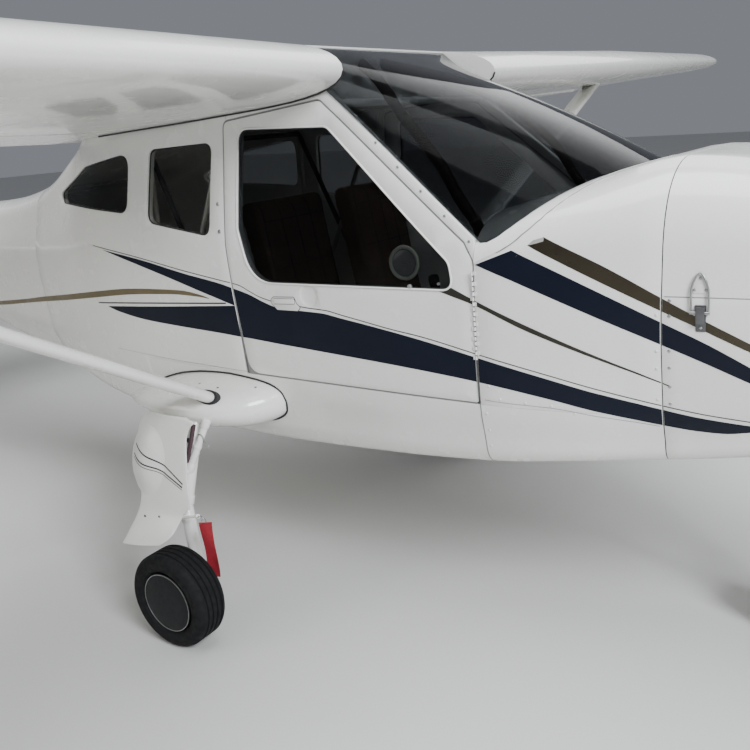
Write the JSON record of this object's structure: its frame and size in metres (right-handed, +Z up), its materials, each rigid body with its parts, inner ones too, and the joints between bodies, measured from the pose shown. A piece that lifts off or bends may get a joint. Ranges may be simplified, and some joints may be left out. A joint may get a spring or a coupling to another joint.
{
  "type": "light aircraft",
  "caption": "High-wing strut-braced light aircraft with a hollow side-by-side cabin, hinged doors, turning wheels and propeller, and moving control surfaces.",
  "frame": {"origin": "on the ground under the middle of the aircraft's box, with the tyres resting on z = 0", "axes": "+X forward along the fuselage, +Y to port along the span, +Z up"},
  "size_m": [6.3, 8.7016, 2.44],
  "materials": {
    "white_paint": "gloss",
    "white_metal": "satin",
    "tinted_pane": "gloss",
    "black_tyre": "matte",
    "dark_rim": "satin",
    "engine_metal": "satin",
    "bare_steel": "satin",
    "dark_blade": "satin",
    "seat_cloth": "matte",
    "dark_trim": "matte",
    "black_metal": "satin"
  },
  "bodies": {
    "airframe": {"windscreen_frame": "white_paint", "rear_cabin": "white_paint", "belly_panel": "white_paint", "forward_fuselage": "white_paint", "firewall": "bare_steel", "windscreen": "tinted_pane", "quarter_window_left": "tinted_pane", "quarter_window_right": "tinted_pane", "rear_window_left": "tinted_pane", "rear_window_right": "tinted_pane", "engine": "engine_metal", "cowl_upper": "white_paint", "cowl_lower": "white_paint", "wing_left": "white_paint", "wing_right": "white_paint", "wing_center": "white_paint", "sponson_left": "white_paint", "sponson_right": "white_paint", "strut_left": "white_metal", "strut_right": "white_metal", "main_leg_left": "white_metal", "main_leg_right": "white_metal", "gear_panel_left": "white_paint", "gear_panel_right": "white_paint", "nose_leg": "white_metal", "tail_boom": "white_paint", "fin": "white_paint", "cabin_floor": "dark_trim", "seat_left": "seat_cloth", "seat_right": "seat_cloth", "instrument_panel": "dark_trim", "control_sticks": "black_metal", "cage_tubes": "white_metal"},
    "propeller_unit": {"propeller": "dark_blade", "spinner": "white_paint"},
    "main_wheel_left": {"main_tyre_left": "black_tyre", "main_rim_left": "dark_rim"},
    "main_wheel_right": {"main_tyre_right": "black_tyre", "main_rim_right": "dark_rim"},
    "steering_fork": {"nose_fork": "white_metal"},
    "nose_wheel": {"nose_tyre": "black_tyre", "nose_rim": "dark_rim"},
    "left_door": {"door_left": "white_paint", "door_window_left": "tinted_pane"},
    "right_door": {"door_right": "white_paint", "door_window_right": "tinted_pane"},
    "left_flap": {"flap_left": "white_paint"},
    "right_flap": {"flap_right": "white_paint"},
    "left_aileron": {"aileron_left": "white_paint"},
    "right_aileron": {"aileron_right": "white_paint"},
    "rudder": {"rudder": "white_paint"},
    "stabilator": {"stabilator": "white_paint"}
  },
  "joints": [
    {"name": "propeller_spin", "type": "hinge", "parent": "airframe", "child": "propeller_unit", "pos_m": [2.92, 0, 1.15], "axis": [1, 0, 0], "continuous": true},
    {"name": "main_wheel_left_spin", "type": "hinge", "parent": "airframe", "child": "main_wheel_left", "pos_m": [0.65, 0.96, 0.16636], "axis": [0, 1, 0], "continuous": true},
    {"name": "main_wheel_right_spin", "type": "hinge", "parent": "airframe", "child": "main_wheel_right", "pos_m": [0.65, -0.96, 0.16636], "axis": [0, 1, 0], "continuous": true},
    {"name": "nose_wheel_steer", "type": "hinge", "parent": "airframe", "child": "steering_fork", "pos_m": [2.49, 0, 0.36], "axis": [0, 0, 1], "range_deg": [-20, 20]},
    {"name": "nose_wheel_spin", "type": "hinge", "parent": "steering_fork", "child": "nose_wheel", "pos_m": [2.44, 0, 0.14943], "axis": [0, 1, 0], "continuous": true},
    {"name": "door_left_hinge", "type": "hinge", "parent": "airframe", "child": "left_door", "pos_m": [1.581, 0.5535, 1.175], "axis": [0, 0.0489, 0.9988], "range_deg": [-75, 0]},
    {"name": "door_right_hinge", "type": "hinge", "parent": "airframe", "child": "right_door", "pos_m": [1.581, -0.5535, 1.175], "axis": [0, -0.0489, 0.9988], "range_deg": [0, 75]},
    {"name": "flap_left_hinge", "type": "hinge", "parent": "airframe", "child": "left_flap", "pos_m": [0.13566, 1.4786, 1.73924], "axis": [0, 0.9997, 0.0244], "range_deg": [-38, 0]},
    {"name": "flap_right_hinge", "type": "hinge", "parent": "airframe", "child": "right_flap", "pos_m": [0.13566, -1.4786, 1.73924], "axis": [0, 0.9997, -0.0244], "range_deg": [-38, 0]},
    {"name": "aileron_left_hinge", "type": "hinge", "parent": "airframe", "child": "left_aileron", "pos_m": [0.13566, 3.1581, 1.78029], "axis": [0, 0.9997, 0.0244], "range_deg": [-20, 20]},
    {"name": "aileron_right_hinge", "type": "hinge", "parent": "airframe", "child": "right_aileron", "pos_m": [0.13566, -3.1581, 1.78029], "axis": [0, 0.9997, -0.0244], "range_deg": [-20, 20]},
    {"name": "rudder_hinge", "type": "hinge", "parent": "airframe", "child": "rudder", "pos_m": [-2.79, 0, 1.9], "axis": [0, 0, 1], "range_deg": [-25, 25]},
    {"name": "stabilator_hinge", "type": "hinge", "parent": "airframe", "child": "stabilator", "pos_m": [-2.646, 0, 1.205], "axis": [0, 1, 0], "range_deg": [-7, 15]}
  ],
  "couplings": [
    {"joint": "flap_right_hinge", "follows": "flap_left_hinge", "ratio": 1},
    {"joint": "aileron_right_hinge", "follows": "aileron_left_hinge", "ratio": -1}
  ]
}
